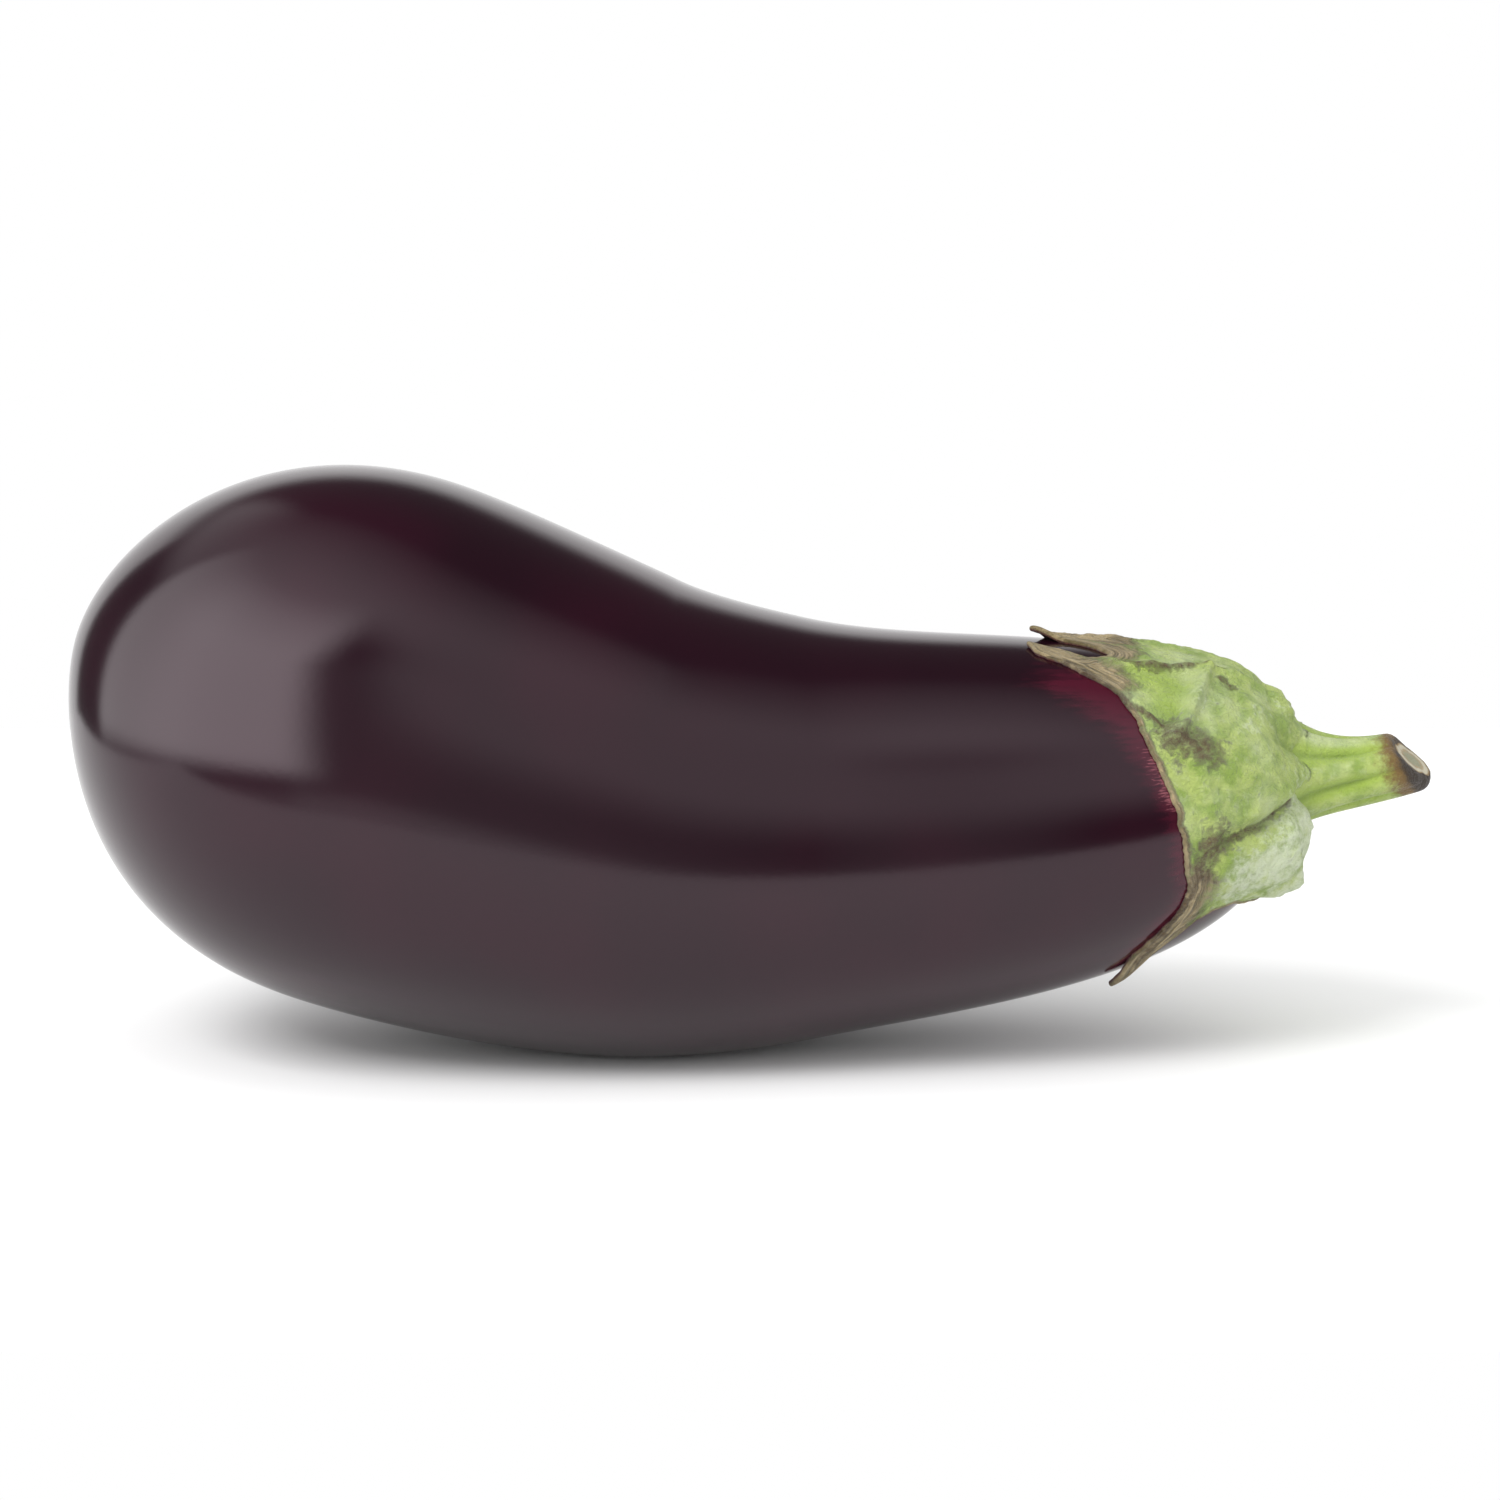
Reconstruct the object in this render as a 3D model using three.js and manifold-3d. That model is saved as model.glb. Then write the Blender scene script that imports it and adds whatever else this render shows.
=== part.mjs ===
// A whole eggplant as picked, lying on its belly: the fruit, the green calyx that caps its neck,
// and the short ribbed stem left by the knife. Millimetres, +Z up, the stem towards +X.
import * as THREE from "three";
import { mergeVertices } from "three/addons/utils/BufferGeometryUtils.js";
import Module from "manifold-3d";

const wasm = await Module();
wasm.setup();

// ---- Driving dimensions ----

// The fruit's spine is a curve in the XZ plane, from the blossom end to the stem end.
const blossomEnd = { x: -106, z: 66.7, heading: -16.3, handle: 22.6 };
const belly = { x: -18, z: 37.7, heading: -9.9, handleBack: 23.3, handleOn: 27.4 };
const stemEnd = { x: 83.7, z: 44.6, heading: 11.2, handle: 28.6 };

// The fruit's radius along that spine.
const blossomBluntness = 13.4;
const bulb = { along: 49.8, radius: 42.5, handleBack: 36.2, handleOn: 14.3 };
const neck = { along: 120.3, radius: 33.3, slope: -0.205, handleBack: 27.6, handleOn: 29.1 };
const shoulderBluntness = 29.7;
const restDepth = 0.7; // how deep the skin is flattened where the fruit rests

// Touching pieces keep this much clear of each other.
const gap = 0.3;

// The calyx. Angles run round the neck from straight up towards the front (-Y), in degrees;
// reach is measured along the skin from the middle of the stem end.
const hubHeight = 2.4; // where the stem takes over from the calyx, beyond the end of the fruit
const calyxThickness = { hub: 2.6, rim: 0.8, taper: 1.5 };
const collar = { height: 4.5, width: 7 };
const shoulder = { height: 1.8, along: 16, width: 7.5, angle: 10, spread: 75 };
const fold = { height: 3.6, along: 12.5, width: 7.5, angle: 146, spread: 20 };
// A sepal is half a narrow point and half broad shoulders; the sharpness says how fast each falls
// away from the sepal's middle line.
const pointShare = 0.5;
const pointSharpness = 16;
const shoulderSharpness = 2.2;
const sepals = [
  { angle: 27, reach: 52, lift: 0.3, lean: -15 },
  { angle: 135, reach: 45, lift: 1.2, lean: 26 },
  { angle: 225, reach: 43, lift: 0.4, lean: -8 },
  { angle: 285, reach: 48, lift: 0.4, lean: 7 },
  { angle: 351, reach: 52.5, lift: 0.5, lean: 5 },
];
// The notch after each sepal.
const notches = [
  { angle: 105, reach: 31.2 },
  { angle: 172, reach: 22 },
  { angle: 255, reach: 28 },
  { angle: 318, reach: 29 },
  { angle: 15, reach: 37 },
];

// The stem.
const stemLength = 24;
const stemHeading = 5.5; // degrees above the horizon
const stemRadii = [8.2, 7.2, 6.4, 5.9, 5.5, 5.2, 5, 4.9];
const stemRibs = { count: 7, depth: 0.5, twist: 15, roundness: 0.7 };
const cut = { along: 17.6, up: 30, towardsFront: 16 }; // the knife's plane, and how its face is turned

// ---- Shared shapes ----

const radians = THREE.MathUtils.degToRad;
const towards = (heading, length) =>
  new THREE.Vector3(Math.cos(radians(heading)) * length, 0, Math.sin(radians(heading)) * length);
const placeOf = (end) => new THREE.Vector3(end.x, 0, end.z);
const bump = (distance, width) => Math.exp(-((distance / width) ** 2));
const turnBetween = (a, b) => THREE.MathUtils.euclideanModulo(a - b + 180, 360) - 180;

function makeSpine() {
  const spine = new THREE.CurvePath();
  const [start, middle, end] = [blossomEnd, belly, stemEnd].map(placeOf);
  spine.add(
    new THREE.CubicBezierCurve3(
      start,
      start.clone().add(towards(blossomEnd.heading, blossomEnd.handle)),
      middle.clone().sub(towards(belly.heading, belly.handleBack)),
      middle,
    ),
  );
  spine.add(
    new THREE.CubicBezierCurve3(
      middle,
      middle.clone().add(towards(belly.heading, belly.handleOn)),
      end.clone().sub(towards(stemEnd.heading, stemEnd.handle)),
      end,
    ),
  );
  return spine;
}

const spine = makeSpine();
const fruitLength = spine.getLength();

// Half the fruit's outline as if it were straight: x is the radius, y the distance along the spine.
function makeOutline() {
  const { along: b, radius: bulbRadius } = bulb;
  const { along: n, radius: neckRadius, slope } = neck;
  const outline = new THREE.Path();
  outline.moveTo(0, 0);
  outline.bezierCurveTo(blossomBluntness, 0, bulbRadius, b - bulb.handleBack, bulbRadius, b);
  outline.bezierCurveTo(
    bulbRadius,
    b + bulb.handleOn,
    neckRadius - slope * neck.handleBack,
    n - neck.handleBack,
    neckRadius,
    n,
  );
  outline.bezierCurveTo(
    neckRadius + slope * neck.handleOn,
    n + neck.handleOn,
    shoulderBluntness,
    fruitLength,
    0,
    fruitLength,
  );
  return outline;
}

const outline = makeOutline();

// Bends a shape turned about +Y, so that its Y axis follows the spine and its +Z side faces up.
function bendAlongSpine(geometry) {
  const position = geometry.getAttribute("position");
  const point = new THREE.Vector3();
  for (let i = 0; i < position.count; i++) {
    point.fromBufferAttribute(position, i);
    const t = THREE.MathUtils.clamp(point.y / fruitLength, 0, 1);
    const along = spine.getTangent(t);
    const beyond = point.y - t * fruitLength;
    const up = new THREE.Vector3(-along.z, 0, along.x);
    const place = spine.getPoint(t).addScaledVector(along, beyond).addScaledVector(up, point.z);
    place.y = -point.x;
    position.setXYZ(i, place.x, place.y, place.z);
  }
  return geometry;
}

// ---- Solids and booleans ----

const mergeDistance = 0.001;

function solidOf(geometry) {
  const bare = new THREE.BufferGeometry();
  bare.setAttribute("position", geometry.getAttribute("position"));
  bare.setIndex(geometry.index);
  const merged = mergeVertices(bare, mergeDistance);
  return new wasm.Manifold(
    new wasm.Mesh({
      numProp: 3,
      vertProperties: merged.attributes.position.array,
      triVerts: new Uint32Array(merged.index.array),
    }),
  );
}

function geometryOf(solid) {
  const mesh = solid.getMesh();
  const geometry = new THREE.BufferGeometry();
  geometry.setAttribute("position", new THREE.BufferAttribute(mesh.vertProperties, 3));
  geometry.setIndex(new THREE.BufferAttribute(mesh.triVerts, 1));
  geometry.computeVertexNormals();
  return geometry;
}

// Everything on the side of a plane that its normal points to, out past the whole eggplant.
function halfSpace(point, normal) {
  const size = 2 * fruitLength;
  const box = new THREE.BoxGeometry(size, size, size);
  box.translate(0, 0, size / 2);
  box.applyQuaternion(new THREE.Quaternion().setFromUnitVectors(new THREE.Vector3(0, 0, 1), normal));
  box.translate(point.x, point.y, point.z);
  return solidOf(box);
}

// ---- The fruit: a turned and bent body, flattened a little where it rests ----

const aroundFruit = 60;
const stepsPerStretch = 13;

// The whole fruit grown outwards by `offset`, still round under its belly.
function fruitBody(offset) {
  const points = outline.getPoints(stepsPerStretch);
  const grown = points.map((point, i) => {
    if (i === 0) return new THREE.Vector2(0, -offset);
    if (i === points.length - 1) return new THREE.Vector2(0, fruitLength + offset);
    const along = points[i + 1].clone().sub(points[i - 1]).normalize();
    return new THREE.Vector2(point.x + along.y * offset, point.y - along.x * offset);
  });
  return solidOf(bendAlongSpine(new THREE.LatheGeometry(grown, aroundFruit)));
}

function makeFruit() {
  const whole = fruitBody(0);
  const floor = new THREE.Vector3(0, 0, whole.boundingBox().min[2] + restDepth);
  return whole.subtract(halfSpace(floor, new THREE.Vector3(0, 0, -1)));
}

// ---- The calyx: a cap of five pointed sepals, draped over the stem end ----

const aroundCalyx = 120;
const calyxRows = 12;
const sunk = 1.2; // the cap starts this deep inside the fruit, and is then hollowed to fit it

// The neck's outline walked back from the stem end, so that reach can be measured along it.
const shoulderCurve = outline.curves[2];
const { v0, v1, v2, v3 } = shoulderCurve;
const skin = new THREE.CubicBezierCurve(v3, v2, v1, v0);
const skinLength = skin.getLength();

// Where `angle` lies: the sepal that it belongs to, how far off that sepal's middle it is as a
// share of the way to a notch, and the notches on that side and on the other side.
function sepalAt(angle) {
  for (const [i, sepal] of sepals.entries()) {
    const after = notches[i];
    const before = notches[(i + notches.length - 1) % notches.length];
    for (const [notch, other] of [[after, before], [before, after]]) {
      const off = turnBetween(angle, sepal.angle) / turnBetween(notch.angle, sepal.angle);
      if (off >= 0 && off <= 1) return { sepal, off, notch, other };
    }
  }
  throw new Error(`no sepal at ${angle} degrees`);
}

// How far the calyx covers the skin there.
function rimReach({ sepal, off, notch }) {
  const inside = 1 - off;
  const point = pointShare * inside ** pointSharpness;
  const shoulders = (1 - pointShare) * inside ** shoulderSharpness;
  return notch.reach + (sepal.reach - notch.reach) * (point + shoulders);
}

// How near a point is to its sepal's tip: 0 as far out as the notches, 1 at the tip.
function nearTip({ sepal, off, notch, other }, along) {
  const middle = (notch.reach + other.reach) / 2;
  const base = THREE.MathUtils.lerp(middle, notch.reach, off);
  return Math.max(0, (along - base) / (sepal.reach - base)) ** 2;
}

// How thick the calyx is, at a distance along the skin that is a share of the way to its rim.
function calyxThicknessAt(angle, along, share) {
  const { hub, rim, taper } = calyxThickness;
  const flesh = rim + (hub - rim) * (1 - share) ** taper;
  const swellings = [shoulder, fold].map((swelling) =>
    swelling.height
    * bump(turnBetween(angle, swelling.angle), swelling.spread)
    * bump(along - swelling.along, swelling.width));
  const root = collar.height * bump(along, collar.width);
  return swellings.reduce((total, swelling) => total + swelling, flesh + root);
}

// Drapes a turned shape over the stem end. Its radius is the share of the way to the rim, and its
// height says which face of the calyx it is: 0 the one on the skin, 1 the outer one.
function drapeOnNeck(geometry) {
  const position = geometry.getAttribute("position");
  const point = new THREE.Vector3();
  for (let i = 0; i < position.count; i++) {
    point.fromBufferAttribute(position, i);
    const share = Math.min(1, Math.hypot(point.x, point.z));
    const angle = THREE.MathUtils.radToDeg(Math.atan2(point.x, point.z));
    const here = sepalAt(angle);
    const along = share * rimReach(here);
    const tip = nearTip(here, along);
    const innerFace = -sunk * (1 - tip);
    const outerFace = gap + calyxThicknessAt(angle, along, share);
    const stand = THREE.MathUtils.lerp(innerFace, outerFace, point.y) + here.sepal.lift * tip;
    const place = skin.getPointAt(along / skinLength);
    const forward = skin.getTangentAt(along / skinLength);
    const turned = radians(angle + here.sepal.lean * tip);
    const radius = Math.max(0, place.x - forward.y * stand);
    const height = place.y + forward.x * stand;
    position.setXYZ(i, radius * Math.sin(turned), height, radius * Math.cos(turned));
  }
  return bendAlongSpine(geometry);
}

const stemAxis = towards(stemHeading, 1);
const hubCentre = placeOf(stemEnd).add(towards(stemEnd.heading, hubHeight + gap));

function makeCalyx() {
  const shares = Array.from({ length: calyxRows + 1 }, (_, i) => i / calyxRows);
  const inner = shares.map((share) => new THREE.Vector2(share, 0));
  const outer = shares.map((share) => new THREE.Vector2(share, 1)).reverse();
  const cap = solidOf(drapeOnNeck(new THREE.LatheGeometry([...inner, ...outer], aroundCalyx)));
  return cap.subtract(fruitBody(gap)).subtract(halfSpace(hubCentre, stemAxis));
}

// ---- The stem: a ribbed stalk that thins from the hub, cut across at a slant ----

const aroundStem = 56;

// How deep the groove is at an angle round the stem: none on a rib, the full depth between two.
function grooveAt(angle) {
  const { count, depth, roundness } = stemRibs;
  return depth * (1 - Math.abs(Math.sin((count * angle) / 2)) ** roundness);
}

function makeStem() {
  const step = stemLength / (stemRadii.length - 1);
  const rings = stemRadii.map((radius, i) => new THREE.Vector2(radius, i * step));
  const profile = [new THREE.Vector2(0, 0), ...rings, new THREE.Vector2(0, stemLength)];
  const stalk = new THREE.LatheGeometry(profile, aroundStem);
  const position = stalk.getAttribute("position");
  const point = new THREE.Vector3();
  for (let i = 0; i < position.count; i++) {
    point.fromBufferAttribute(position, i);
    const twist = radians(stemRibs.twist) * (point.y / stemLength);
    const radius = Math.hypot(point.x, point.z);
    const groove = radius > 0 ? grooveAt(Math.atan2(point.x, point.z) + twist) / radius : 0;
    position.setXYZ(i, point.x * (1 - groove), point.y, point.z * (1 - groove));
  }
  const upright = new THREE.Vector3(0, 1, 0);
  stalk.applyQuaternion(new THREE.Quaternion().setFromUnitVectors(upright, stemAxis));
  const base = hubCentre.clone().addScaledVector(stemAxis, gap);
  stalk.translate(base.x, base.y, base.z);

  const facing = new THREE.Vector3(1, 0, 0);
  facing.applyAxisAngle(new THREE.Vector3(0, 1, 0), -radians(cut.up));
  facing.applyAxisAngle(new THREE.Vector3(0, 0, 1), -radians(cut.towardsFront));
  const cutPoint = base.clone().addScaledVector(stemAxis, cut.along);
  return solidOf(stalk).subtract(halfSpace(cutPoint, facing));
}

// ---- The eggplant, with its origin under the middle of its box ----

const skinMaterial = new THREE.MeshStandardMaterial({ color: 0x2a1620, roughness: 0.25, metalness: 0 });
const calyxMaterial = new THREE.MeshStandardMaterial({ color: 0x9cbc63, roughness: 0.65, metalness: 0 });
const stemMaterial = new THREE.MeshStandardMaterial({ color: 0x93b24f, roughness: 0.65, metalness: 0 });

function piece(name, solid, material) {
  const mesh = new THREE.Mesh(geometryOf(solid), material);
  mesh.name = name;
  return mesh;
}

const eggplant = new THREE.Group();
eggplant.add(
  piece("fruit", makeFruit(), skinMaterial),
  piece("calyx", makeCalyx(), calyxMaterial),
  piece("stem", makeStem(), stemMaterial),
);
const box = new THREE.Box3().setFromObject(eggplant);
const middle = box.getCenter(new THREE.Vector3());
eggplant.position.set(-middle.x, -middle.y, -box.min.z);

export default eggplant;
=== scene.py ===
"""A whole eggplant lying on a white table, in metres, +Z up, with its stem towards +X."""

import math

import bpy
import numpy as np
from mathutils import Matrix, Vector, geometry, kdtree, noise


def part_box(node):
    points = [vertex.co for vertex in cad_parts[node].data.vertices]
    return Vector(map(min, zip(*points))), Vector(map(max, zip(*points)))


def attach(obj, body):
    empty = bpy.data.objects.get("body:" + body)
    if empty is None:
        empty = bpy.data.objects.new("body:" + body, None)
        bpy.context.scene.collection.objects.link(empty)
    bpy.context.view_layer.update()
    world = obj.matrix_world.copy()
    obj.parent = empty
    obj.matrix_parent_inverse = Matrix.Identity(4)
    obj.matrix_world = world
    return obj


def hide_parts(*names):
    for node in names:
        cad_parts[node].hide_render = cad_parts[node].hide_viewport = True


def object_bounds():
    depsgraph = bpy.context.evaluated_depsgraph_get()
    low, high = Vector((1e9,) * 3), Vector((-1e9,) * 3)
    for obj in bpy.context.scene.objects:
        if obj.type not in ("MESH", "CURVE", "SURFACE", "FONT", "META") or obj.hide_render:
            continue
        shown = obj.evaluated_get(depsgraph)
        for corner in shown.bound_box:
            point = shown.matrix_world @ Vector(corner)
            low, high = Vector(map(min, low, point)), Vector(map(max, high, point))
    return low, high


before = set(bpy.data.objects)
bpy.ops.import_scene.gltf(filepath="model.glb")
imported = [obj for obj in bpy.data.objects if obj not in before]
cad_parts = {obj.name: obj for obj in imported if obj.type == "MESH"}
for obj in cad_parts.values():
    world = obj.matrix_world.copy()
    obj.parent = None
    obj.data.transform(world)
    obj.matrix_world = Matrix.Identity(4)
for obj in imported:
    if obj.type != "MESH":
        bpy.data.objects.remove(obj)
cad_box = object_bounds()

# ---- Camera ----
# A 100 mm lens on a full-frame body, a little above the table, square on to the side of the fruit.
# It aims at the middle of the whole eggplant, moved by a millimetre or two to centre it.

view_distance = 0.6583
view_height = math.radians(10)
view_target = (cad_box[0] + cad_box[1]) / 2 + Vector((-0.0002, 0, 0.0015))

camera = bpy.data.objects.new("camera", bpy.data.cameras.new("camera"))
camera.data.lens = 100
camera.data.sensor_width = 36
camera.location = view_target + view_distance * Vector((0, -math.cos(view_height), math.sin(view_height)))
camera.rotation_euler = (math.pi / 2 - view_height, 0, 0)
bpy.context.scene.collection.objects.link(camera)
bpy.context.scene.camera = camera

# ---- Fruit ----
# One berry with a thin, waxy, purple-black skin, as it grew: a body turned about a gently bent
# spine, a little flattened under the belly where it rests. Close to the calyx, where the sun did
# not reach, the skin is crimson and streaked. Sizes are in millimetres.

MM = 0.001

# The spine's ends and middle: place, heading in degrees, and the length of the handles there. Its
# last stretch runs on through the stem.
blossom_end = dict(x=-106, z=66.7, heading=-16.3, handle_on=22.6)
belly = dict(x=-18, z=37.7, heading=-9.9, handle_back=23.3, handle_on=27.4)
stem_end = dict(x=83.7, z=44.6, heading=11.2, handle_back=28.6, handle_on=3)
stem_tip = dict(x=107.5, z=48, heading=18, handle_back=14)

# The outline is the radius at each distance along the spine.
blossom_bluntness = 13.4
bulb = dict(along=49.8, radius=42.5, handle_back=36.2, handle_on=14.3)
neck = dict(along=120.3, radius=33.3, slope=-0.205, handle_back=27.6, handle_on=29.1)
shoulder_bluntness = 29.7

rest_softness = 0.15
curve_steps = 400
around_fruit = 224
rings_on_fruit = 320


def knot(at):
    """A point of the spine, with the handles before it and after it."""
    place = Vector((at["x"], 0, at["z"]))
    heading = math.radians(at["heading"])
    direction = Vector((math.cos(heading), 0, math.sin(heading)))
    return place - direction * at.get("handle_back", 0), place, place + direction * at.get("handle_on", 0)


def make_curve(name, knots):
    """A Bezier curve through the knots."""
    data = bpy.data.curves.new(name, "CURVE")
    data.dimensions = "3D"
    data.resolution_u = curve_steps
    spline = data.splines.new("BEZIER")
    spline.bezier_points.add(len(knots) - 1)
    for bezier_point, (before, place, after) in zip(spline.bezier_points, knots):
        bezier_point.handle_left_type = bezier_point.handle_right_type = "FREE"
        bezier_point.handle_left, bezier_point.co, bezier_point.handle_right = before, place, after
    curve = bpy.data.objects.new(name, data)
    bpy.context.scene.collection.objects.link(curve)
    return curve


def sample(knots):
    """Points along the same curve, as an array."""
    points = []
    for (_, start, leave), (arrive, end, _) in zip(knots, knots[1:]):
        points += geometry.interpolate_bezier(start, leave, arrive, end, curve_steps)[:-1]
    return np.array([*points, knots[-1][1]])


def lengths_along(points):
    return np.r_[0, np.cumsum(np.linalg.norm(np.diff(points, axis=0), axis=1))]


spine_knots = [knot(at) for at in (blossom_end, belly, stem_end, stem_tip)]
fruit_length = lengths_along(sample(spine_knots[:3]))[-1]

bulb_at, neck_at = (Vector((at["radius"], at["along"], 0)) for at in (bulb, neck))
along_outline = Vector((0, 1, 0))
along_neck = Vector((neck["slope"], 1, 0))
pole = Vector((0, fruit_length, 0))
outline_knots = [
    (Vector(), Vector(), Vector((blossom_bluntness, 0, 0))),
    (bulb_at - along_outline * bulb["handle_back"], bulb_at, bulb_at + along_outline * bulb["handle_on"]),
    (neck_at - along_neck * neck["handle_back"], neck_at, neck_at + along_neck * neck["handle_on"]),
    (pole + Vector((shoulder_bluntness, 0, 0)), pole, pole),
]


class Wire:
    """One output of a node. An expression on wires adds Math nodes to the tree that they are in."""

    def __init__(self, tree, socket=None):
        self.tree = tree
        self.socket = socket

    def __getitem__(self, output):
        """Another output of the same node."""
        return Wire(self.tree, self.socket.node.outputs[output])

    def node(self, kind, settings=None, inputs=None):
        """Adds a node of any kind. Its settings are made before its inputs are set or linked."""
        node = self.tree.nodes.new(kind)
        for name, value in (settings or {}).items():
            setattr(node, name, value)
        for key, value in (inputs or {}).items():
            if isinstance(value, Wire):
                self.tree.links.new(value.socket, node.inputs[key])
            else:
                node.inputs[key].default_value = value
        return Wire(self.tree, node.outputs[0]) if node.outputs else None

    def maths(self, operation, *values):
        return self.node("ShaderNodeMath", {"operation": operation}, dict(enumerate(values)))

    def __add__(self, other):
        return self.maths("ADD", self, other)

    def __sub__(self, other):
        return self.maths("SUBTRACT", self, other)

    def __rsub__(self, other):
        return self.maths("SUBTRACT", other, self)

    def __mul__(self, other):
        return self.maths("MULTIPLY", self, other)

    __radd__ = __add__
    __rmul__ = __mul__


def turned_body_tree():
    """Geometry nodes for a body turned about a bent spine, with its seam under the belly."""
    tree = bpy.data.node_groups.new("turned body on a bent spine", "GeometryNodeTree")
    for name, kind in (
        ("Spine", "NodeSocketObject"),
        ("Outline", "NodeSocketObject"),
        ("Around", "NodeSocketInt"),
        ("Rings", "NodeSocketInt"),
        ("Material", "NodeSocketMaterial"),
    ):
        tree.interface.new_socket(name, in_out="INPUT", socket_type=kind)
    tree.interface.new_socket("Geometry", in_out="OUTPUT", socket_type="NodeSocketGeometry")
    start = Wire(tree)
    given = start.node("NodeGroupInput")
    spine_curve = start.node("GeometryNodeObjectInfo", None, {"Object": given["Spine"]})["Geometry"]
    outline_curve = start.node("GeometryNodeObjectInfo", None, {"Object": given["Outline"]})["Geometry"]
    grid = start.node(
        "GeometryNodeMeshGrid",
        None,
        {"Size X": 1.0, "Size Y": 1.0, "Vertices X": given["Around"] + 1, "Vertices Y": given["Rings"] + 1},
    )
    share = start.node("ShaderNodeSeparateXYZ", None, {0: grid["UV Map"]})
    turn = (share["X"] - 0.5) * (2 * math.pi)
    up_share, front_share = turn.maths("COSINE", turn), turn.maths("SINE", turn)
    on_outline = start.node(
        "GeometryNodeSampleCurve",
        {"mode": "FACTOR", "use_all_curves": True},
        {"Curves": outline_curve, "Factor": share["Y"]},
    )
    outline = start.node("ShaderNodeSeparateXYZ", None, {0: on_outline["Position"]})
    on_spine = start.node(
        "GeometryNodeSampleCurve",
        {"mode": "LENGTH", "use_all_curves": True},
        {"Curves": spine_curve, "Length": outline["Y"]},
    )
    across = {"operation": "CROSS_PRODUCT"}
    up = start.node("ShaderNodeVectorMath", across, {0: on_spine["Tangent"], 1: (0, 1, 0)})
    raise_by = up_share * outline["X"]
    raised = start.node("ShaderNodeVectorMath", {"operation": "SCALE"}, {0: up, "Scale": raise_by})
    forward = start.node("ShaderNodeCombineXYZ", None, {1: front_share * outline["X"] * -1})
    moved = start.node("ShaderNodeVectorMath", None, {0: on_spine["Position"], 1: raised})
    place = start.node("ShaderNodeVectorMath", None, {0: moved, 1: forward})
    turned = start.node("ShaderNodeCombineXYZ", None, {0: up_share, 1: front_share, 2: outline["Y"]})
    mapped = start.node(
        "GeometryNodeStoreNamedAttribute",
        {"data_type": "FLOAT2", "domain": "CORNER"},
        {"Geometry": grid["Mesh"], "Name": "skin", "Value": grid["UV Map"]},
    )
    placed = start.node("GeometryNodeSetPosition", None, {"Geometry": mapped, "Position": place})
    marked = start.node(
        "GeometryNodeStoreNamedAttribute",
        {"data_type": "FLOAT_VECTOR", "domain": "POINT"},
        {"Geometry": placed, "Name": "round_spine", "Value": turned},
    )
    closed = start.node("GeometryNodeMergeByDistance", None, {"Geometry": marked, "Distance": 0.0005})
    smooth = start.node("GeometryNodeSetShadeSmooth", None, {"Geometry": closed})
    real = start.node("GeometryNodeRealizeInstances", None, {"Geometry": smooth})
    painted = start.node("GeometryNodeSetMaterial", None, {"Geometry": real, "Material": given["Material"]})
    start.node("NodeGroupOutput", None, {"Geometry": painted})
    return tree


def grown_mesh(name, tree, **values):
    """The plain mesh that a geometry tree makes, given its named inputs."""
    holder = bpy.data.objects.new(name, bpy.data.meshes.new(name))
    bpy.context.scene.collection.objects.link(holder)
    modifier = holder.modifiers.new(name, "NODES")
    modifier.node_group = tree
    identifiers = {item.name: item.identifier for item in tree.interface.items_tree}
    for key, value in values.items():
        modifier[identifiers[key]] = value
    mesh = bpy.data.meshes.new_from_object(holder.evaluated_get(bpy.context.evaluated_depsgraph_get()))
    bpy.data.objects.remove(holder)
    mesh.name = name
    return mesh


def read(mesh, attribute="position"):
    """A vector attribute of the mesh's points, one row for each point."""
    values = np.empty(len(mesh.vertices) * 3)
    mesh.attributes[attribute].data.foreach_get("vector", values)
    return values.reshape(-1, 3)


def write(mesh, attribute, values):
    """Keeps a number for each point of the mesh, under a name that its material reads."""
    mesh.attributes.new(attribute, "FLOAT", "POINT").data.foreach_set("value", np.ravel(values))


def ripple(points, size, seed):
    """Smooth noise between about -1 and 1, with bumps of about the given size."""
    shift = Vector((seed * 17.3, seed * 5.9, seed * 11.1))
    return np.array([noise.fractal(Vector(point) / size + shift, 1.0, 2.0, 2) for point in points])


def smooth_step(value, low, high):
    share = np.clip((value - low) / (high - low), 0, 1)
    return share * share * (3 - 2 * share)


def add_piece(name, mesh, node):
    """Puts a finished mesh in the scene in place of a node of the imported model."""
    piece = bpy.data.objects.new(name, mesh)
    bpy.context.scene.collection.objects.link(piece)
    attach(piece, "root")
    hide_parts(node)


skin = bpy.data.materials.new("eggplant skin")
spine_curve = make_curve("spine", spine_knots[:3])
outline_curve = make_curve("outline", outline_knots)
fruit_mesh = grown_mesh(
    "eggplant_fruit",
    turned_body_tree(),
    Spine=spine_curve,
    Outline=outline_curve,
    Around=around_fruit,
    Rings=rings_on_fruit,
    Material=skin,
)
for helper in (spine_curve, outline_curve):
    bpy.data.objects.remove(helper)

# The mesh is moved to where the frame has the fruit, and eased flat against the table.
fruit_points = read(fruit_mesh)
fruit_low, fruit_high = (np.array(corner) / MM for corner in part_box("fruit"))
to_frame = np.array([fruit_low[0] - fruit_points[:, 0].min(), 0, fruit_high[2] - fruit_points[:, 2].max()])


def eased_flat(points):
    """Lifts whatever would sink into the table to just above it."""
    height = points[:, 2]
    lifted = (height + np.sqrt(height**2 + 4 * rest_softness**2)) / 2
    return np.column_stack([points[:, :2], lifted])


fruit_points = eased_flat(fruit_points + to_frame)
fruit_mesh.vertices.foreach_set("co", np.ravel(fruit_points * MM))
add_piece("eggplant_fruit", fruit_mesh, "fruit")


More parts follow.
